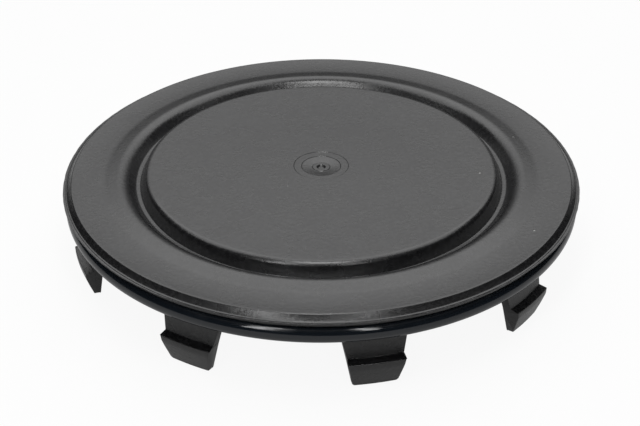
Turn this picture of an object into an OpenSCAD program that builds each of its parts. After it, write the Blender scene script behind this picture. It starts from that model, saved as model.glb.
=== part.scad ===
// Snap-in wheel hubcap: one moulded cap with its clips, and the sealing ring round the clip roots.
// Millimetres, +Z up. The origin is on the axis, on the plane of the clip tips, so the cap stands
// face up on its clips. Profiles are half sections: radius across, height up.

/* [Flange] */
// Outer diameter over the thin moulding lip
flange_d = 86; // [85:0.2:89]
// Height of the rounded rim above the clip tips
rim_z = 13.85; // [13:0.05:16]
// Radius of the rounded rim
rim_round = 1.1; // [0.8:0.05:1.2]
// Width of the small ledge at the foot of the rim
ledge_w = 0.4; // [0.3:0.05:0.5]
// Drop from the rim to the ledge
ledge_drop = 0.74; // [0.7:0.02:0.9]
// Width of the thin lip that the mould leaves outside the ledge
lip_w = 0.42; // [0.2:0.02:0.6]
// Thickness of that lip
lip_t = 0.16; // [0.12:0.02:0.2]
// Thickness of the moulded wall
wall = 1.9; // [1.7:0.1:2]

/* [Face] */
// Radius of the crest of the broad outer band
crest_r = 36.9; // [36.4:0.1:37.6]
// Height of that crest above the rim
crest_up = 0.3; // [0.2:0.02:0.4]
// Radius at which the band starts to roll down into the groove
roll_r = 33.8; // [33.6:0.05:34.2]
// Radius of that roll
roll_round = 2.1; // [2.05:0.05:2.3]
// Drop from the rim to the top of the roll
roll_drop = 0.18; // [0.08:0.02:0.24]
// Inner radius of the groove floor
groove_in_r = 30.33; // [30.2:0.02:30.5]
// Depth of the groove floor below the rim
groove_depth = 1.76; // [1.6:0.02:1.9]
// Radius of the middle disc over its rounded edge
disc_r = 29.45; // [29.2:0.05:29.6]
// Height of the edge of the middle disc above the rim
disc_up = 0.36; // [0.2:0.02:0.5]
// How far the middle disc is dished from its edge to its centre
disc_dish = 0.35; // [0:0.05:0.5]
// Radius of the rounded edge of the middle disc
disc_round = 0.8; // [0.4:0.05:0.9]

/* [Moulding gate] */
// Radius of the outer step round the gate
gate_out_r = 4.6; // [4.2:0.1:5]
// Radius of the inner step round the gate
gate_in_r = 3.3; // [3:0.1:3.6]
// Height of each of the two steps
gate_step = 0.08; // [0.04:0.01:0.12]
// Depth of the recess at the foot of the boss
gate_depth = 0.42; // [0.36:0.02:0.5]
// Radius of the low boss at the gate
gate_boss_r = 1.6; // [1.4:0.05:1.8]
// Height of that boss above its foot
gate_boss_up = 0.1; // [0.05:0.01:0.15]

/* [Clips] */
// Number of clips round the cap
clip_count = 9; // [7:1:10]
// Width of a clip at the edge of its barb
clip_w = 8.6; // [7:0.1:10]
// Narrowing of each side of a clip per millimetre of height
clip_taper = 0.185; // [0.1:0.005:0.22]
// Corner radius at the bottom of a clip
clip_corner = 0.8; // [0.4:0.1:1.2]
// Outer radius of the skirt that carries the clips
skirt_r = 39.85; // [39.6:0.05:40]
// Thickness of the skirt and the clips
skirt_t = 1.45; // [1.3:0.05:1.6]
// Outer radius of the clips just above the barb
clip_r = 40.75; // [40.5:0.05:41]
// Thickness of a clip at its tip
tip_t = 1.05; // [0.9:0.05:1.3]
// How far the barb stands out from the clip
barb_out = 1.35; // [0.8:0.05:1.6]
// Height of the barb edge above the clip tips
barb_z = 4.85; // [4:0.05:5.5]
// Height of the upright band under the barb edge
barb_land = 0.85; // [0.5:0.05:1.2]

/* [Sealing ring] */
// Diameter of the ring's round section
ring_d = 2.9; // [2.6:0.1:3]
// Gap between the ring and the cap, on both sides that it bears against
ring_gap = 0.02; // [0.01:0.01:0.05]

/* [Hidden] */
$fn = 180;
cap_colour = "#47474a";
ring_colour = "#23262a";

// Edge of the flange. The rim's height is taken where its round leans this far outwards.
rim_lean = 25;
rim_foot = 70;
side_draft = 0.1;
flange_r = flange_d / 2;
ledge_r = flange_r - lip_w;
side_r = ledge_r - ledge_w;
rim_c_r = side_r - side_draft - rim_round;
rim_c_z = rim_z - rim_round * cos(rim_lean);
ledge_z = rim_z - ledge_drop;
lip_step = 0.08;
lip_z = ledge_z - lip_step;
under_z = rim_z - wall;
edge_round = lip_z - lip_t - under_z;

// Broad band: its crest is a shallow arc between a slope of 9 degrees and one of 3 degrees
crest_round = 6;
band_in_lean = 9;
band_out_lean = 3;
crest_z = rim_z + crest_up;
roll_z = rim_z - roll_drop - roll_round;

// Groove: the rounding at the outside of its floor just touches the roll above it
floor_round = 0.45;
floor_z = rim_z - groove_depth;
floor_c_z = floor_z + floor_round;
floor_c_r = roll_r - sqrt(pow(roll_round + floor_round, 2) - pow(floor_c_z - roll_z, 2));
floor_lean = acos((floor_c_z - roll_z) / (roll_round + floor_round));

// Middle disc: it is nearly flat in the middle and rises towards its edge as a power of the
// radius. The wall round it leans in by the same angle on both of its faces.
dish_power = 3;
dish_steps = 8;
foot_round = 0.2;
foot_z = floor_z + foot_round;
disc_lean = 64;
disc_z = rim_z + disc_up;
disc_mid_z = disc_z - disc_dish;
disc_under_z = disc_mid_z - wall;
foot_in_r = groove_in_r - (foot_round + wall) * sin(disc_lean);
foot_in_z = foot_z - (foot_round + wall) * cos(disc_lean);

// Gate mark: half the width of a step's slope, the width of the boss's slope, and the boss's pit
step_half = 0.1;
boss_slope = 0.35;
pit_r = 0.95;
pit_floor_r = 0.35;
pit_depth = 0.2;

// Skirt and clips. The skirt ends just below the ring. The clips run up into the skirt a little
// inside both of its faces, and their tips stand slightly outside the stems.
skirt_past_ring = 0.1;
skirt_in_r = skirt_r - skirt_t;
skirt_z = under_z - ring_d - skirt_past_ring;
clip_root = 1.2;
clip_top = skirt_z + clip_root;
clip_inset = 0.1;
clip_span = 24;
tip_out = 0.15;
tip_r = clip_r + tip_out;
tip_round = 0.3;
tip_lean = 100;
barb_r = clip_r + barb_out;
barb_ease = 0.12;
barb_under = 0.2;
slope_bulge = 0.7;

// Fineness: degrees in a step of an arc, steps in a pulled curve, sides of the ring's section,
// and the degrees left out where two arcs meet, so that their shared point is given once
arc_step = 9;
curve_steps = 6;
ring_sides = 48;
arc_join = 2;

// Points along an arc. Angles are measured from straight up, positive towards growing radius.
function arc_pts(cr, cz, rad, from, to) = let (n = max(2, ceil(abs(to - from) / arc_step)))
    [for (i = [0:n]) let (a = from + (to - from) * i / n) [cr + rad * sin(a), cz + rad * cos(a)]];

// Points along a curve from a to c that is pulled towards b
function curve_pts(a, b, c) = [for (i = [1:curve_steps - 1]) let (t = i / curve_steps)
    a * pow(1 - t, 2) + b * 2 * t * (1 - t) + c * pow(t, 2)];

// Recess that the mould's gate leaves in the middle of the face: a low boss with a pit in it,
// a slope up from the boss's foot, and two steps
function gate_line() = let (foot = disc_mid_z - gate_depth) [
    [0, foot - pit_depth],
    [pit_floor_r, foot - pit_depth],
    [pit_r, foot + gate_boss_up],
    [gate_boss_r - boss_slope, foot + gate_boss_up],
    [gate_boss_r, foot],
    [gate_in_r - step_half, disc_mid_z - 2 * gate_step],
    [gate_in_r + step_half, disc_mid_z - gate_step],
    [gate_out_r - step_half, disc_mid_z - gate_step],
    [gate_out_r + step_half, disc_mid_z]];

// Rise of the dished disc from the gate mark out to its rounded edge
function dish_line() = let (from = gate_out_r + step_half, to = disc_r - disc_round)
    [for (i = [1:dish_steps - 1]) let (r = from + (to - from) * i / dish_steps)
        [r, disc_mid_z + disc_dish * pow(r / to, dish_power)]];

// Top of the face from the axis outwards: disc, groove, broad band, rim, ledge, lip
function face_line() = concat(
    gate_line(),
    dish_line(),
    arc_pts(disc_r - disc_round, disc_z - disc_round, disc_round, 0, disc_lean),
    arc_pts(groove_in_r, foot_z, foot_round, 180 + disc_lean, 180),
    arc_pts(floor_c_r, floor_c_z, floor_round, 180, 180 - floor_lean),
    arc_pts(roll_r, roll_z, roll_round, arc_join - floor_lean, -band_in_lean),
    arc_pts(crest_r, crest_z - crest_round, crest_round, -band_in_lean, band_out_lean),
    arc_pts(rim_c_r, rim_c_z, rim_round, band_out_lean, rim_foot),
    [[side_r, ledge_z], [ledge_r - lip_step, ledge_z], [ledge_r, lip_z], [flange_r, lip_z]]);

// Underside from the lip back to the axis, a wall thickness below the face, with the skirt
function under_line() = concat(
    [[flange_r, lip_z - lip_t]],
    arc_pts(ledge_r - edge_round, lip_z - lip_t, edge_round, 90, 180),
    [[skirt_r, under_z], [skirt_r, skirt_z], [skirt_in_r, skirt_z], [skirt_in_r, under_z]],
    arc_pts(roll_r, roll_z, roll_round - wall, -band_in_lean, -floor_lean),
    arc_pts(floor_c_r, floor_c_z, floor_round + wall, 180 - floor_lean, 180),
    arc_pts(groove_in_r, foot_z, foot_round + wall, 180, 180 + disc_lean),
    [[foot_in_r - (disc_under_z - foot_in_z) / tan(disc_lean), disc_under_z], [0, disc_under_z]]);

// Section of one clip: down the inside, round the tip, up the sloped lead-in, over the barb.
// Its top runs into the skirt.
function clip_section() = concat(
    [[skirt_in_r + clip_inset, clip_top],
     [skirt_in_r + clip_inset, skirt_z],
     [skirt_in_r + clip_r - skirt_r, barb_z]],
    arc_pts(tip_r - tip_t + tip_round, tip_round, tip_round, 270, 180),
    arc_pts(tip_r - tip_round, tip_round, tip_round, 180, tip_lean),
    curve_pts([tip_r, tip_round], [clip_r + barb_out * slope_bulge, barb_z / 2],
        [barb_r, barb_z - barb_land]),
    [[barb_r, barb_z - barb_land]],
    arc_pts(barb_r - barb_ease, barb_z - barb_ease, barb_ease, 90, 0),
    [[clip_r, barb_z + barb_under],
     [skirt_r - clip_inset, skirt_z],
     [skirt_r - clip_inset, clip_top]]);

// One clip seen from outside: tapering sides and rounded bottom corners
module clip_outline() {
    lean = atan(clip_taper);
    half_low = clip_w / 2 - clip_taper * barb_z;
    half_top = half_low + clip_taper * clip_top;
    corner_x = half_low + clip_taper * clip_corner - clip_corner / cos(lean);
    right = concat(arc_pts(corner_x, clip_corner, clip_corner, 180, 90 + lean), [[half_top, clip_top]]);
    polygon(concat(right, [for (i = [len(right) - 1:-1:0]) [-right[i][0], right[i][1]]]));
}

// One clip on the +X side: a sector of the turned section, cut to the outline
module clip() {
    intersection() {
        rotate([0, 0, -clip_span / 2]) rotate_extrude(angle = clip_span) polygon(clip_section());
        rotate([90, 0, 90]) linear_extrude(height = flange_r) clip_outline();
    }
}

module cap() {
    color(cap_colour) union() {
        rotate_extrude() polygon(concat(face_line(), under_line()));
        for (i = [0:clip_count - 1]) rotate([0, 0, i * 360 / clip_count - 90]) clip();
    }
}

// Round-section ring in the corner between the flange and the skirt
module seal_ring() {
    section_r = ring_d / 2;
    color(ring_colour)
        translate([0, 0, under_z - ring_gap - section_r])
            rotate_extrude() translate([skirt_r + ring_gap + section_r, 0])
                circle(r = section_r, $fn = ring_sides);
}

cap();
seal_ring();
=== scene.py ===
"""Looks of a snap-in wheel hubcap: one moulded cap with its clips, and a rubber sealing ring."""

import math
import random

import bpy
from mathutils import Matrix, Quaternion, Vector


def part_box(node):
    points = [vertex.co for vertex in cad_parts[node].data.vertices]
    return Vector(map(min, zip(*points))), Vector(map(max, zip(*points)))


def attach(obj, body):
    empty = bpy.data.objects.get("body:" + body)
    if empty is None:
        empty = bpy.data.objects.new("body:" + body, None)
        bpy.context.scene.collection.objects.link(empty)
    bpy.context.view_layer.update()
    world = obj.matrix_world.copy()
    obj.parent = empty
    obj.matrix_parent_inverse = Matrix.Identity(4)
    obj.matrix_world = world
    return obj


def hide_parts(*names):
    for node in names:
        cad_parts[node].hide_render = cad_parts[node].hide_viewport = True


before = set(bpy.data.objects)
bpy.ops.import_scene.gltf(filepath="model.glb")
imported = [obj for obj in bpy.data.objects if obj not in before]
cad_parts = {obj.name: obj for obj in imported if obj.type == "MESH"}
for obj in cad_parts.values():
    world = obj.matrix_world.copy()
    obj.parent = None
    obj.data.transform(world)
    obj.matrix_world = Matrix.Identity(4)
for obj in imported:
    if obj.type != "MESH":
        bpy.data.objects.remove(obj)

bl_info = {
    "name": "Snap-in Wheel Hubcap",
    "version": (1, 0, 0),
    "blender": (4, 5, 0),
    "location": "3D View > Sidebar > Hubcap",
    "description": "Builds the visible surfaces of a moulded wheel hubcap and the studio round it",
    "category": "Add Mesh",
}

MM = 0.001
CAP_LOW, CAP_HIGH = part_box("cap")
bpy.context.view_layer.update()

# The photograph's frame, and where the cap's axis meets its rim plane in it, in pixels
PHOTO_W = 640
PHOTO_H = 426
AXIS_PIXEL = (321.16, 165.08)


class HubcapSizes(bpy.types.PropertyGroup):
    """Sizes of the cap and its ring. Heights are above the clip tips."""

    flange_r: bpy.props.FloatProperty(
        name="Lip radius", description="Radius over the thin moulding lip",
        default=round(CAP_HIGH.x, 5), min=0.02, unit="LENGTH")
    rim_z: bpy.props.FloatProperty(
        name="Rim height", description="Height of the rounded rim",
        default=13.85 * MM, min=0.01, unit="LENGTH")
    wall: bpy.props.FloatProperty(
        name="Wall", description="Thickness of the moulded wall",
        default=1.9 * MM, min=0.001, unit="LENGTH")
    disc_r: bpy.props.FloatProperty(
        name="Disc radius", description="Radius of the middle disc over its rounded edge",
        default=29.76 * MM, min=0.01, unit="LENGTH")
    disc_dish: bpy.props.FloatProperty(
        name="Dish", description="How far the middle of the disc lies below its edge",
        default=0.35 * MM, min=0.0, unit="LENGTH")
    groove_depth: bpy.props.FloatProperty(
        name="Groove depth", description="Depth of the groove floor below the rim",
        default=1.84 * MM, min=0.0005, unit="LENGTH")
    clip_count: bpy.props.IntProperty(
        name="Clips", description="Number of snap clips round the cap", default=9, min=3)
    clip_w: bpy.props.FloatProperty(
        name="Clip width", description="Width of a clip at the edge of its barb",
        default=8.6 * MM, min=0.002, unit="LENGTH")
    ring_d: bpy.props.FloatProperty(
        name="Ring section", description="Diameter of the sealing ring's round section",
        default=2.9 * MM, min=0.001, unit="LENGTH")
    lip_wear: bpy.props.FloatProperty(
        name="Lip wear", description="How much of the thin lip is gone where it is worn most",
        default=0.34 * MM, min=0.0, unit="LENGTH")
    turn_steps: bpy.props.IntProperty(
        name="Steps in a turn", description="Flats round each turned surface", default=540, min=90)


class HubcapColours(bpy.types.PropertyGroup):
    """Colours and finish of the two materials, as sRGB hex values."""

    plastic: bpy.props.StringProperty(
        name="Plastic", description="Colour of the moulded cap", default="#121213")
    plastic_pale_grain: bpy.props.StringProperty(
        name="Pale grain", description="Colour of the grain's paler spots", default="#212122")
    plastic_dust: bpy.props.StringProperty(
        name="Dust", description="Colour of the fine dust on the cap", default="#8a8a88")
    plastic_gloss: bpy.props.FloatProperty(
        name="Plastic roughness", description="Roughness of the moulded grain",
        default=0.27, min=0.0, max=1.0, subtype="FACTOR")
    rubber: bpy.props.StringProperty(
        name="Rubber", description="Colour of the sealing ring", default="#161b21")
    rubber_gloss: bpy.props.FloatProperty(
        name="Rubber roughness", description="Roughness of the oiled rubber",
        default=0.13, min=0.0, max=1.0, subtype="FACTOR")
    floor: bpy.props.StringProperty(
        name="Floor", description="Colour of the studio floor", default="#b1b1b1")


class HubcapStage(bpy.types.PropertyGroup):
    """Camera and light of the studio."""

    camera_height: bpy.props.FloatProperty(
        name="Camera height", description="Angle of the camera above the cap",
        default=math.radians(30.113), subtype="ANGLE")
    camera_turn: bpy.props.FloatProperty(
        name="Camera turn", description="How far the camera stands round from the clip that points to -Y",
        default=math.radians(11.17), subtype="ANGLE")
    camera_distance: bpy.props.FloatProperty(
        name="Camera distance", description="From the camera to the middle of the rim plane",
        default=204.6 * MM, unit="LENGTH")
    camera_roll: bpy.props.FloatProperty(
        name="Camera roll", description="Roll of the camera about its own axis",
        default=math.radians(-0.096), subtype="ANGLE")
    camera_lens: bpy.props.FloatProperty(
        name="Lens", description="Focal length on a sensor 36 mm wide, in millimetres", default=68.206)
    backdrop_foot: bpy.props.FloatProperty(
        name="Foot of backdrop", description="Brightness of the backdrop's dark foot",
        default=0.12, min=0.0)
    rear_light: bpy.props.FloatProperty(
        name="Rear light", description="Brightness of the wide light that the backdrop fades up to",
        default=2.3, min=0.0)
    side_light: bpy.props.FloatProperty(
        name="Side lights", description="Brightness of the two high lights beside the backdrop",
        default=2.0, min=0.0)
    left_key: bpy.props.FloatProperty(
        name="Left strip", description="Brightness of the strip light left of the camera",
        default=8.5, min=0.0)
    right_key: bpy.props.FloatProperty(
        name="Right strip", description="Brightness of the narrow strip light right of the camera",
        default=9.0, min=0.0)
    top_light: bpy.props.FloatProperty(
        name="Overhead light", description="Power of the overhead softbox in watts",
        default=0.222, min=0.0)
    high_room: bpy.props.FloatProperty(
        name="High room", description="Brightness of the dim upper room in front",
        default=0.12, min=0.0)
    dark_room: bpy.props.FloatProperty(
        name="Dark room", description="Brightness of the dark ceiling and of the lower room in front",
        default=0.02, min=0.0)


def linear(hex_colour):
    """An sRGB hex colour as linear red, green, blue and alpha."""
    parts = [int(hex_colour[i:i + 2], 16) / 255 for i in (1, 3, 5)]
    return [c / 12.92 if c <= 0.04045 else ((c + 0.055) / 1.055) ** 2.4 for c in parts] + [1.0]


def add_node(tree, kind, settings=None, **inputs):
    """Adds a node. Settings are its own properties. Each input is a value or another node's socket."""
    node = tree.nodes.new(kind)
    for key, value in (settings or {}).items():
        setattr(node, key, value)
    for key, value in inputs.items():
        socket = node.inputs[int(key[1:])] if key[0] == "i" and key[1:].isdigit() \
            else node.inputs[key.replace("_", " ")]
        if isinstance(value, bpy.types.NodeSocket):
            tree.links.new(value, socket)
        else:
            socket.default_value = value
    return node


def new_material(name):
    """An empty node material with its output, and its tree."""
    material = bpy.data.materials.new(name)
    material.use_nodes = True
    material.node_tree.nodes.clear()
    return material, material.node_tree


def moulded_plastic(colours):
    """Black ABS and polycarbonate blend from a spark-eroded mould: a fine satin grain that
    scatters the reflection of a bright room into an even grey, with a trace of pale dust."""
    material, tree = new_material("black_pc_abs_moulded")
    place = add_node(tree, "ShaderNodeTexCoord").outputs["Object"]
    # The mould's grain is about 0.6 mm, and longer waves of 4 mm come from uneven shrinking
    grain = add_node(tree, "ShaderNodeTexNoise", Vector=place, Scale=1 / (0.6 * MM), Detail=3.0,
                     Roughness=0.6)
    waves = add_node(tree, "ShaderNodeTexNoise", Vector=place, Scale=1 / (4.0 * MM), Detail=2.0)
    fine = add_node(tree, "ShaderNodeBump", Strength=0.60, Distance=0.05 * MM,
                    Height=grain.outputs["Fac"])
    broad = add_node(tree, "ShaderNodeBump", Strength=0.10, Distance=0.15 * MM,
                     Height=waves.outputs["Fac"], Normal=fine.outputs["Normal"])
    # Dust lies in single specks of about 0.15 mm, one in each cell of 3 mm that has any
    cells = add_node(tree, "ShaderNodeTexVoronoi", {"feature": "F1"}, Vector=place, Scale=1 / (3.2 * MM))
    speck = add_node(tree, "ShaderNodeMath", {"operation": "LESS_THAN"},
                     i0=cells.outputs["Distance"], i1=0.045)
    chance = add_node(tree, "ShaderNodeSeparateColor", Color=cells.outputs["Color"])
    rare = add_node(tree, "ShaderNodeMath", {"operation": "GREATER_THAN"},
                    i0=chance.outputs["Red"], i1=0.80)
    dust = add_node(tree, "ShaderNodeMath", {"operation": "MULTIPLY"},
                    i0=speck.outputs[0], i1=rare.outputs[0])
    # The spots where the grain stands up are coloured a little paler
    raised_grain = add_node(tree, "ShaderNodeMapRange", Value=grain.outputs["Fac"], From_Min=0.46, From_Max=0.66)
    worn = add_node(tree, "ShaderNodeMix", {"data_type": "RGBA"}, Factor=raised_grain.outputs[0],
                    i6=linear(colours.plastic), i7=linear(colours.plastic_pale_grain))
    tone = add_node(tree, "ShaderNodeMix", {"data_type": "RGBA"}, Factor=dust.outputs[0],
                    i6=worn.outputs[2], i7=linear(colours.plastic_dust))
    rough = add_node(tree, "ShaderNodeMapRange", Value=waves.outputs["Fac"], From_Min=0.3, From_Max=0.7,
                     To_Min=colours.plastic_gloss - 0.03, To_Max=colours.plastic_gloss + 0.03)
    shader = add_node(tree, "ShaderNodeBsdfPrincipled", Base_Color=tone.outputs[2],
                      Roughness=rough.outputs[0], IOR=1.57, Normal=broad.outputs["Normal"])
    add_node(tree, "ShaderNodeOutputMaterial", Surface=shader.outputs["BSDF"])
    return material


def oiled_rubber(colours):
    """Black nitrile rubber with a film of assembly grease: a smooth dark gloss with crisp lights."""
    material, tree = new_material("nitrile_rubber_greased")
    place = add_node(tree, "ShaderNodeTexCoord").outputs["Object"]
    # The grease lies unevenly, in patches of about 3 mm
    patches = add_node(tree, "ShaderNodeTexNoise", Vector=place, Scale=1 / (3.0 * MM), Detail=2.0)
    rough = add_node(tree, "ShaderNodeMapRange", Value=patches.outputs["Fac"], From_Min=0.35, From_Max=0.7,
                     To_Min=colours.rubber_gloss - 0.05, To_Max=colours.rubber_gloss + 0.08)
    ripple = add_node(tree, "ShaderNodeBump", Strength=0.08, Distance=0.08 * MM,
                      Height=patches.outputs["Fac"])
    shader = add_node(tree, "ShaderNodeBsdfPrincipled", Base_Color=linear(colours.rubber),
                      Roughness=rough.outputs[0], IOR=1.52, Normal=ripple.outputs["Normal"])
    add_node(tree, "ShaderNodeOutputMaterial", Surface=shader.outputs["BSDF"])
    return material


def lit_table(colours):
    """A matt translucent table lit from below, so that it shows white to the camera and keeps
    only a faint shadow. In reflections and through glass it shows less of that light."""
    material, tree = new_material("translucent_studio_table")
    sheet = add_node(tree, "ShaderNodeBsdfDiffuse", Color=linear(colours.floor))
    glow = add_node(tree, "ShaderNodeEmission", Color=linear("#ffffff"), Strength=1.05)
    path = add_node(tree, "ShaderNodeLightPath")
    mirrored = add_node(tree, "ShaderNodeMath", {"operation": "MAXIMUM"},
                        i0=path.outputs["Is Glossy Ray"], i1=path.outputs["Is Transmission Ray"])
    faint = add_node(tree, "ShaderNodeMath", {"operation": "MULTIPLY"}, i0=mirrored.outputs[0], i1=0.26)
    full = add_node(tree, "ShaderNodeMath", {"operation": "MULTIPLY"},
                    i0=path.outputs["Is Camera Ray"], i1=0.88)
    share = add_node(tree, "ShaderNodeMath", {"operation": "MAXIMUM"},
                     i0=full.outputs[0], i1=faint.outputs[0])
    shown = add_node(tree, "ShaderNodeMixShader", i0=share.outputs[0], i1=sheet.outputs[0],
                     i2=glow.outputs[0])
    add_node(tree, "ShaderNodeOutputMaterial", Surface=shown.outputs[0])
    return material


def card(name, brightness):
    """A studio card that is seen only in reflections, at an even brightness."""
    material, tree = new_material(name)
    glow = add_node(tree, "ShaderNodeEmission", Color=linear("#ffffff"), Strength=brightness)
    add_node(tree, "ShaderNodeOutputMaterial", Surface=glow.outputs[0])
    return material


def start_outline(name, first):
    """Starts a mesh with one vertex at a point (radius, height) in the XZ plane, in edit mode."""
    bpy.ops.object.select_all(action="DESELECT")
    bpy.ops.mesh.primitive_plane_add(size=MM, location=(0, 0, 0))
    piece = bpy.context.active_object
    piece.name = piece.data.name = name
    bpy.ops.object.mode_set(mode="EDIT")
    bpy.ops.mesh.select_all(action="SELECT")
    bpy.ops.mesh.merge(type="CENTER")
    bpy.ops.transform.translate(value=(first[0], 0, first[1]))
    return piece


def draw_outline(points):
    """Draws on from the selected vertex through the points, one extruded edge at a time."""
    for (r0, z0), (r1, z1) in zip(points, points[1:]):
        bpy.ops.mesh.extrude_region_move(TRANSFORM_OT_translate={"value": (r1 - r0, 0, z1 - z0)})


def arc(centre, radius, start, end, step=7.5):
    """Points on an arc. Angles in degrees from straight up, positive towards growing radius."""
    count = max(2, math.ceil(abs(end - start) / step))
    angles = [math.radians(start + (end - start) * i / count) for i in range(count + 1)]
    return [(centre[0] + radius * math.sin(a), centre[1] + radius * math.cos(a)) for a in angles]


def eased(points, reach):
    """The same line with its corners cut off, and a point beside each cut that keeps the flats flat."""
    line = [points[0]]
    for before, corner, after in zip(points, points[1:], points[2:]):
        for other, shares in ((before, (2, 1)), (after, (1, 2))):
            length = math.dist(corner, other)
            line += [tuple(c + (o - c) * share * reach / length for c, o in zip(corner, other))
                     for share in shares]
    return line + [points[-1]]


def bend(start, pull, end, count=6):
    """Points between start and end on a curve that is pulled towards a third point."""
    shares = [(i + 1) / (count + 1) for i in range(count)]
    return [tuple(a * (1 - t) ** 2 + b * 2 * t * (1 - t) + c * t * t for a, b, c in zip(start, pull, end))
            for t in shares]


class HUBCAP_OT_cap(bpy.types.Operator):
    """Turn the cap's face and underside, and join the clips to it"""

    bl_idname = "hubcap.cap"
    bl_label = "Moulded Cap"

    def gate_line(self, mid_z):
        """Recess that the mould's gate leaves: a low boss with a pit, a slope, and two steps."""
        step, half = 0.11 * MM, 0.05 * MM
        foot = mid_z - 0.42 * MM
        top = foot + 0.13 * MM
        pit = foot - 0.20 * MM
        boss_r, in_r, out_r = 1.55 * MM, 3.3 * MM, 4.6 * MM
        return eased([
            (0, pit), (0.45 * MM, pit), (0.80 * MM, top), (boss_r - 0.14 * MM, top), (boss_r, foot),
            (in_r - half, mid_z - 2 * step), (in_r + half, mid_z - step),
            (out_r - half, mid_z - step), (out_r + half, mid_z), (out_r + 0.3 * MM, mid_z)], 0.03 * MM)

    def section(self, size):
        """Half section of the cap, from the middle of the face round to the middle of the underside."""
        rim_z, wall = size.rim_z, size.wall
        disc_z = rim_z + 0.36 * MM
        dish = size.disc_dish
        mid_z = disc_z - dish
        gate = self.gate_line(mid_z)
        disc_round = 1.1 * MM
        disc_lean = 66
        flat_r = size.disc_r - disc_round
        steps = 16
        rise_r = [gate[-1][0] + (flat_r - gate[-1][0]) * i / steps for i in range(1, steps)]
        rise_r.append(flat_r - 0.06 * MM)
        disc = [(r, mid_z + dish * (r / flat_r) ** 3) for r in rise_r]
        disc += arc((flat_r, disc_z - disc_round), disc_round, 2, disc_lean, 6)
        foot_round = 0.2 * MM
        floor_z = rim_z - size.groove_depth
        foot = (30.52 * MM, floor_z + foot_round)
        # A rounded bead stands between the groove's sloping outer wall and the dished band
        bead_round = 2.2 * MM
        bead = (33.8 * MM, rim_z + 0.17 * MM - bead_round)
        lean = 50
        slant = math.radians(lean)
        floor_round = 0.45 * MM
        drop = bead[1] + bead_round * math.cos(slant) - floor_z - floor_round * (1 - math.cos(slant))
        hollow = (bead[0] - (bead_round + floor_round) * math.sin(slant) - drop / math.tan(slant),
                  floor_z + floor_round)
        bead_lean = 9
        decline = math.radians(bead_lean)
        valley_r, valley_round = 36.6 * MM, 6 * MM
        bead_foot = (bead[0] + bead_round * math.sin(decline), bead[1] + bead_round * math.cos(decline))
        fall = (valley_r - valley_round * math.sin(decline) - bead_foot[0]) * math.tan(decline)
        valley_z = bead_foot[1] - fall - valley_round * (1 - math.cos(decline))
        ledge_r = size.flange_r - 0.42 * MM
        side_r = ledge_r - 0.24 * MM
        rim_round = 0.3 * MM
        rim = (41.44 * MM, rim_z - 0.21 * MM)
        rim_lean = 47.5
        # From the valley the band rises in one shallow arc that runs smoothly into the rim
        run, lift = rim[0] - valley_r, valley_z - rim[1]
        band_round = (run ** 2 + lift ** 2 - rim_round ** 2) / (2 * (rim_round - lift))
        band_lean = math.degrees(math.asin(run / (band_round + rim_round)))
        ledge_z = rim_z - 0.74 * MM
        lip_z = ledge_z - 0.10 * MM
        lip_under = lip_z - 0.16 * MM
        under_z = rim_z - wall
        edge_round = lip_under - under_z
        skirt_r, skirt_t = 39.85 * MM, 1.45 * MM
        skirt_z = under_z - size.ring_d - 0.1 * MM
        under_disc = mid_z - wall
        back = arc(foot, foot_round + wall, 180, 180 + disc_lean)
        corner_r = back[-1][0] - (under_disc - back[-1][1]) / math.tan(math.radians(disc_lean))
        return [
            *gate, *disc,
            *arc(foot, foot_round, 180 + disc_lean, 180),
            *arc(hollow, floor_round, 180, 180 - lean),
            *arc(bead, bead_round, -lean, bead_lean),
            *arc((valley_r, valley_z + valley_round), valley_round, 180 + bead_lean, 180, 2),
            *arc((valley_r, valley_z + band_round), band_round, 180, 180 - band_lean, 0.6)[1:],
            *arc(rim, rim_round, -band_lean, rim_lean, 6),
            (side_r - 0.04 * MM, ledge_z + 0.044 * MM), (side_r + 0.04 * MM, ledge_z),
            (ledge_r - 0.07 * MM, ledge_z), (ledge_r, ledge_z - 0.03 * MM),
            (ledge_r + 0.03 * MM, lip_z), (size.flange_r - 0.03 * MM, lip_z),
            (size.flange_r, lip_z - 0.03 * MM), (size.flange_r, lip_under + 0.03 * MM),
            (size.flange_r - 0.03 * MM, lip_under),
            *arc((ledge_r - edge_round, lip_under), edge_round, 90, 180, 15),
            (skirt_r, under_z), (skirt_r, skirt_z), (skirt_r - skirt_t, skirt_z), (skirt_r - skirt_t, under_z),
            *arc(bead, bead_round - wall, 0, -lean, 20),
            *arc(hollow, floor_round + wall, 180 - lean, 180, 15),
            *back, (corner_r, under_disc), (0, under_disc)]

    def clip_section(self, size):
        """Section of one clip: down the inside, round the tip, up the lead-in and over the barb."""
        skirt_r, skirt_t = 39.85 * MM, 1.45 * MM
        skirt_z = size.rim_z - size.wall - size.ring_d - 0.1 * MM
        top = skirt_z + 1.2 * MM
        inset = 0.1 * MM
        clip_r = 40.75 * MM
        barb_r, barb_z = clip_r + 1.35 * MM, 4.85 * MM
        tip_r, tip_t, tip_round = clip_r + 0.15 * MM, 1.05 * MM, 0.3 * MM
        ease = 0.12 * MM
        land = barb_z - 0.85 * MM
        return [
            (skirt_r - skirt_t + inset, top), (skirt_r - skirt_t + inset, skirt_z),
            (clip_r - skirt_t, barb_z),
            *arc((tip_r - tip_t + tip_round, tip_round), tip_round, 270, 180, 18),
            *arc((tip_r - tip_round, tip_round), tip_round, 180, 100, 18),
            *bend((tip_r, tip_round), (clip_r + 0.95 * MM, barb_z / 2), (barb_r, land)),
            (barb_r, land),
            *arc((barb_r - ease, barb_z - ease), ease, 90, 0, 22),
            (clip_r, barb_z + 0.2 * MM), (skirt_r - inset, skirt_z), (skirt_r - inset, top)]

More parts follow.
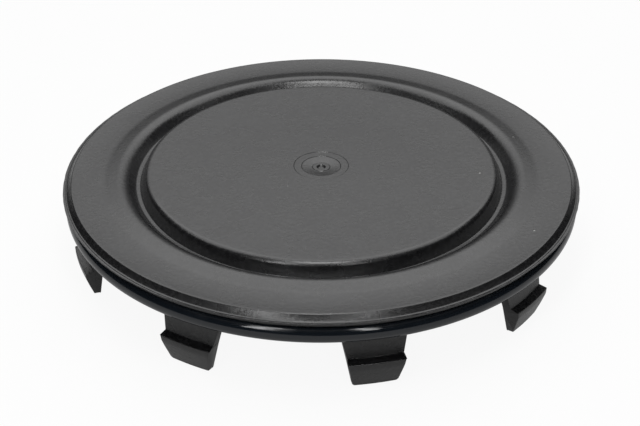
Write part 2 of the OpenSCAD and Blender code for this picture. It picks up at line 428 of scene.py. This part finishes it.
    def turned_body(self, size):
        """The section turned once round the axis, with the wandering edge of the thin lip."""
        outline = self.section(size)
        body = start_outline("cap_moulding", outline[0])
        draw_outline(outline)
        bpy.ops.mesh.select_all(action="SELECT")
        bpy.ops.mesh.spin(steps=size.turn_steps, angle=2 * math.pi, center=(0, 0, 0), axis=(0, 0, 1))
        bpy.ops.mesh.select_all(action="SELECT")
        bpy.ops.mesh.remove_doubles(threshold=1e-6)
        bpy.ops.mesh.normals_make_consistent(inside=False)
        bpy.ops.object.mode_set(mode="OBJECT")
        self.wear_lip(body, size)
        return body

    def wear_lip(self, body, size):
        """Draws the edge of the lip in. It is worn away along one stretch and ragged everywhere."""
        rng = random.Random(7)
        waves = [(rng.randint(9, 150), rng.uniform(0, 2 * math.pi), rng.uniform(0.3, 1.0))
                 for _ in range(26)]
        total = sum(w[2] for w in waves)
        inner = size.flange_r - 0.37 * MM
        worn_middle = math.radians(-95)
        worn_half = math.radians(50)
        for vertex in body.data.vertices:
            radius = math.hypot(vertex.co.x, vertex.co.y)
            if radius > inner:
                angle = math.atan2(vertex.co.y, vertex.co.x)
                wander = sum(h * (0.5 + 0.5 * math.sin(n * angle + p)) for n, p, h in waves) / total
                ragged = min(1.0, max(0.0, (wander - 0.38) * 3.6))
                aside = abs(math.remainder(angle - worn_middle, 2 * math.pi))
                worn = min(1.0, max(0.0, (worn_half - aside) / math.radians(15)))
                drawn = size.lip_wear * (0.6 * worn + ragged * (0.14 + 0.26 * worn))
                vertex.co.x *= (radius - drawn) / radius
                vertex.co.y *= (radius - drawn) / radius

    def first_clip(self, size):
        """One clip at +X: a short turn of its section, cut by its leaning sides and rounded corners."""
        outline = self.clip_section(size)
        clip = start_outline("clip", outline[0])
        draw_outline(outline)
        bpy.ops.mesh.select_all(action="SELECT")
        bpy.ops.mesh.edge_face_add()
        span = math.radians(18)
        bpy.ops.mesh.spin(steps=18, angle=-span, center=(0, 0, 0), axis=(0, 0, 1))
        bpy.ops.mesh.select_all(action="SELECT")
        bpy.ops.transform.rotate(value=span / 2, orient_axis="Z", center_override=(0, 0, 0))
        for side in (-1, 1):
            for place, normal in self.side_cuts(size):
                bpy.ops.mesh.select_all(action="SELECT")
                bpy.ops.mesh.bisect(plane_co=(0, side * place[0], place[1]),
                                    plane_no=(0, side * normal[0], normal[1]),
                                    use_fill=True, clear_outer=True)
        bpy.ops.mesh.select_all(action="SELECT")
        bpy.ops.mesh.normals_make_consistent(inside=False)
        bpy.ops.object.mode_set(mode="OBJECT")
        bevel = clip.modifiers.new("edge_ease", "BEVEL")
        bevel.width = 0.07 * MM
        bevel.segments = 2
        bevel.limit_method = "ANGLE"
        bevel.angle_limit = math.radians(40)
        bpy.ops.object.modifier_apply(modifier=bevel.name)
        return clip

    def side_cuts(self, size):
        """Planes, as a point and an outward direction across and up, that trim one side of a clip."""
        lean = math.atan(0.185)
        corner = 0.8 * MM
        half_low = size.clip_w / 2 - 0.185 * 4.85 * MM
        centre = (half_low + 0.185 * corner - corner / math.cos(lean), corner)
        cuts = []
        steps = 5
        for i in range(steps + 1):
            angle = lean + (math.pi / 2 - lean) * (i / (steps + 1))
            normal = (math.cos(angle), -math.sin(angle))
            cuts.append(((centre[0] + corner * normal[0], centre[1] + corner * normal[1]), normal))
        return cuts

    def execute(self, context):
        size = context.scene.hubcap_sizes
        material = moulded_plastic(context.scene.hubcap_colours)
        body = self.turned_body(size)
        clip = self.first_clip(size)
        clips = [clip]
        for _ in range(1, size.clip_count):
            bpy.ops.object.select_all(action="DESELECT")
            clips[-1].select_set(True)
            bpy.ops.object.duplicate(linked=False)
            clips.append(bpy.context.active_object)
            bpy.ops.transform.rotate(value=2 * math.pi / size.clip_count, orient_axis="Z",
                                     center_override=(0, 0, 0))
        bpy.ops.object.select_all(action="DESELECT")
        for piece in clips:
            piece.select_set(True)
        bpy.context.view_layer.objects.active = clip
        bpy.ops.object.join()
        bpy.ops.transform.rotate(value=math.pi / 2, orient_axis="Z", center_override=(0, 0, 0))
        bpy.ops.object.select_all(action="DESELECT")
        clip.select_set(True)
        body.select_set(True)
        bpy.context.view_layer.objects.active = body
        bpy.ops.object.join()
        bpy.ops.object.transform_apply(location=True, rotation=True, scale=True)
        bpy.ops.object.shade_smooth_by_angle(angle=math.radians(32))
        body.data.materials.clear()
        body.data.materials.append(material)
        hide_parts("cap")
        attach(body, "root")
        return {"FINISHED"}


class HUBCAP_OT_seal(bpy.types.Operator):
    """Make the rubber sealing ring that lies under the flange"""

    bl_idname = "hubcap.seal"
    bl_label = "Sealing Ring"

    def execute(self, context):
        size = context.scene.hubcap_sizes
        section_r = size.ring_d / 2
        under_z = size.rim_z - size.wall
        skirt_r = 39.85 * MM
        gap = 0.02 * MM
        bpy.ops.object.select_all(action="DESELECT")
        bpy.ops.mesh.primitive_torus_add(
            major_radius=skirt_r + gap + section_r, minor_radius=section_r,
            major_segments=360, minor_segments=48, location=(0, 0, under_z - gap - section_r))
        ring = context.active_object
        ring.name = ring.data.name = "rubber_ring"
        bpy.ops.object.transform_apply(location=True, rotation=True, scale=True)
        # The ring is pressed a little flat against the flange
        contact_z = under_z - 0.05 * MM
        bpy.ops.object.mode_set(mode="EDIT")
        bpy.ops.mesh.select_all(action="DESELECT")
        bpy.ops.object.mode_set(mode="OBJECT")
        for vertex in ring.data.vertices:
            vertex.select = vertex.co.z > contact_z
        bpy.ops.object.mode_set(mode="EDIT")
        bpy.ops.mesh.select_mode(type="VERT")
        bpy.ops.transform.resize(value=(1, 1, 0), center_override=(0, 0, contact_z))
        bpy.ops.object.mode_set(mode="OBJECT")
        bpy.ops.object.shade_smooth()
        ring.data.materials.clear()
        ring.data.materials.append(oiled_rubber(context.scene.hubcap_colours))
        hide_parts("seal_ring")
        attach(ring, "root")
        return {"FINISHED"}


class HUBCAP_OT_stage(bpy.types.Operator):
    """Set up the camera, the floor and the studio light"""

    bl_idname = "hubcap.stage"
    bl_label = "Studio"

    def camera(self, stage, size):
        """Camera at the photograph's place, turned until the cap's axis falls on its pixel."""
        centre = Vector((0, 0, size.rim_z))
        level = math.cos(stage.camera_height)
        away = Vector((-level * math.sin(stage.camera_turn), -level * math.cos(stage.camera_turn),
                       math.sin(stage.camera_height)))
        data = bpy.data.cameras.new("photo_camera")
        data.lens = stage.camera_lens
        data.sensor_width = 36
        data.clip_start = 0.01
        data.clip_end = 20
        camera = bpy.data.objects.new("photo_camera", data)
        bpy.context.scene.collection.objects.link(camera)
        camera.location = centre + away * stage.camera_distance
        focal = PHOTO_W * data.lens / data.sensor_width
        ray = Vector(((AXIS_PIXEL[0] - PHOTO_W / 2) / focal, (PHOTO_H / 2 - AXIS_PIXEL[1]) / focal, -1))
        facing = (-away).to_track_quat("-Z", "Y")
        roll = Quaternion((0, 0, 1), stage.camera_roll)
        camera.rotation_mode = "QUATERNION"
        camera.rotation_quaternion = facing @ roll @ ray.rotation_difference(Vector((0, 0, -1)))
        bpy.context.scene.camera = camera

    def softbox(self, name, place, width, length, power):
        """A softbox over the cap, facing down, with its length from front to back. Its place is
        across, away from the camera and up. It doesn't show in the picture itself."""
        turn = bpy.context.scene.hubcap_stage.camera_turn
        data = bpy.data.lights.new(name, "AREA")
        data.shape = "RECTANGLE"
        data.size = width
        data.size_y = length
        data.energy = power
        lamp = bpy.data.objects.new(name, data)
        bpy.context.scene.collection.objects.link(lamp)
        across, away, up = place
        lamp.location = (across * math.cos(turn) + away * math.sin(turn),
                         away * math.cos(turn) - across * math.sin(turn), up)
        lamp.rotation_euler = (0, 0, -turn)
        lamp.visible_camera = False

    def panel(self, name, azimuth, half_width, low, high, brightness, distance=0.6):
        """A piece of a dome round the cap, seen in reflections only. Azimuths run from the camera
        to the right and low and high are angles above the floor, all in degrees."""
        front = -math.pi / 2 - bpy.context.scene.hubcap_stage.camera_turn
        outline = arc((0, 0), distance, 90 - low, 90 - high, 5)
        bpy.ops.object.select_all(action="DESELECT")
        bpy.ops.mesh.primitive_plane_add(size=MM, location=(0, 0, 0))
        panel = bpy.context.active_object
        panel.name = panel.data.name = name
        bpy.ops.object.mode_set(mode="EDIT")
        bpy.ops.mesh.select_all(action="SELECT")
        bpy.ops.mesh.merge(type="CENTER")
        first = front + math.radians(azimuth - half_width)
        east, north = math.cos(first), math.sin(first)
        bpy.ops.transform.translate(value=(outline[0][0] * east, outline[0][0] * north, outline[0][1]))
        for (r0, z0), (r1, z1) in zip(outline, outline[1:]):
            step = ((r1 - r0) * east, (r1 - r0) * north, z1 - z0)
            bpy.ops.mesh.extrude_region_move(TRANSFORM_OT_translate={"value": step})
        bpy.ops.mesh.select_all(action="SELECT")
        bpy.ops.mesh.spin(steps=32, angle=-math.radians(2 * half_width), center=(0, 0, 0), axis=(0, 0, 1))
        bpy.ops.mesh.select_all(action="SELECT")
        bpy.ops.mesh.remove_doubles(threshold=1e-6)
        bpy.ops.object.mode_set(mode="OBJECT")
        panel.data.materials.append(card(name + "_card", brightness))
        panel.visible_camera = False

    def execute(self, context):
        stage = context.scene.hubcap_stage
        self.camera(stage, context.scene.hubcap_sizes)
        bpy.ops.object.select_all(action="DESELECT")
        bpy.ops.mesh.primitive_plane_add(size=6.0, location=(0, 0, 0))
        floor = context.active_object
        floor.name = floor.data.name = "floor"
        floor.data.materials.append(lit_table(context.scene.hubcap_colours))
        # Behind the cap a backdrop that is dark at its foot and brightens evenly up to the rear light
        foot_top, backdrop_top, ceiling_edge = 18, 45, 76
        self.panel("backdrop_foot", 180, 45, 0.5, foot_top, stage.backdrop_foot)
        steps = 6
        tall = (backdrop_top - foot_top) / steps
        for i in range(steps):
            low = foot_top + tall * i
            brightness = stage.backdrop_foot + (stage.rear_light - stage.backdrop_foot) * (i + 0.5) / steps
            self.panel(f"backdrop_{i + 1}", 180, 45, low, low + tall, brightness)
        self.panel("rear_light", 180, 45, backdrop_top, ceiling_edge, stage.rear_light)
        # High lights stand on both sides of it, and the rest of the room is dark
        self.panel("left_light", -112.5, 22.5, backdrop_top, ceiling_edge, stage.side_light)
        self.panel("right_light", 112.5, 22.5, backdrop_top, ceiling_edge, stage.side_light)
        self.panel("low_room", 0, 135, 0.5, backdrop_top, stage.dark_room)
        self.panel("high_room", 0, 90, backdrop_top, ceiling_edge, stage.high_room)
        self.panel("ceiling", 0, 180, ceiling_edge, 90, stage.dark_room)
        # Two tall strip lights in front, which the ring shows as a long and a short streak
        self.panel("left_strip", -27.2, 5.3, 30, 70, stage.left_key, distance=0.55)
        self.panel("right_strip", 21, 3, 32, 62, stage.right_key, distance=0.55)
        self.softbox("overhead_softbox", (0, -0.055, 0.25), 0.07, 0.12, stage.top_light)
        world = bpy.data.worlds.new("white_studio")
        context.scene.world = world
        world.use_nodes = True
        tree = world.node_tree
        tree.nodes.clear()
        white = add_node(tree, "ShaderNodeBackground", Color=linear("#ffffff"), Strength=1.0)
        add_node(tree, "ShaderNodeOutputWorld", Surface=white.outputs[0])
        context.scene.view_settings.view_transform = "Standard"
        return {"FINISHED"}


class HUBCAP_PT_panel(bpy.types.Panel):
    """Lists the steps that build the hubcap"""

    bl_label = "Hubcap"
    bl_idname = "HUBCAP_PT_panel"
    bl_space_type = "VIEW_3D"
    bl_region_type = "UI"
    bl_category = "Hubcap"

    def draw(self, context):
        layout = self.layout
        for group in ("hubcap_sizes", "hubcap_colours", "hubcap_stage"):
            box = layout.box()
            values = getattr(context.scene, group)
            for key in values.bl_rna.properties.keys():
                if key not in ("rna_type", "name"):
                    box.prop(values, key)
        for operator in (HUBCAP_OT_stage, HUBCAP_OT_cap, HUBCAP_OT_seal):
            layout.operator(operator.bl_idname)


CLASSES = (HubcapSizes, HubcapColours, HubcapStage, HUBCAP_OT_cap, HUBCAP_OT_seal, HUBCAP_OT_stage,
           HUBCAP_PT_panel)


def register():
    for entry in CLASSES:
        bpy.utils.register_class(entry)
    bpy.types.Scene.hubcap_sizes = bpy.props.PointerProperty(type=HubcapSizes)
    bpy.types.Scene.hubcap_colours = bpy.props.PointerProperty(type=HubcapColours)
    bpy.types.Scene.hubcap_stage = bpy.props.PointerProperty(type=HubcapStage)


def unregister():
    del bpy.types.Scene.hubcap_stage
    del bpy.types.Scene.hubcap_colours
    del bpy.types.Scene.hubcap_sizes
    for entry in reversed(CLASSES):
        bpy.utils.unregister_class(entry)


def main():
    register()
    bpy.ops.hubcap.stage()
    bpy.ops.hubcap.cap()
    bpy.ops.hubcap.seal()


if __name__ == "__main__":
    main()
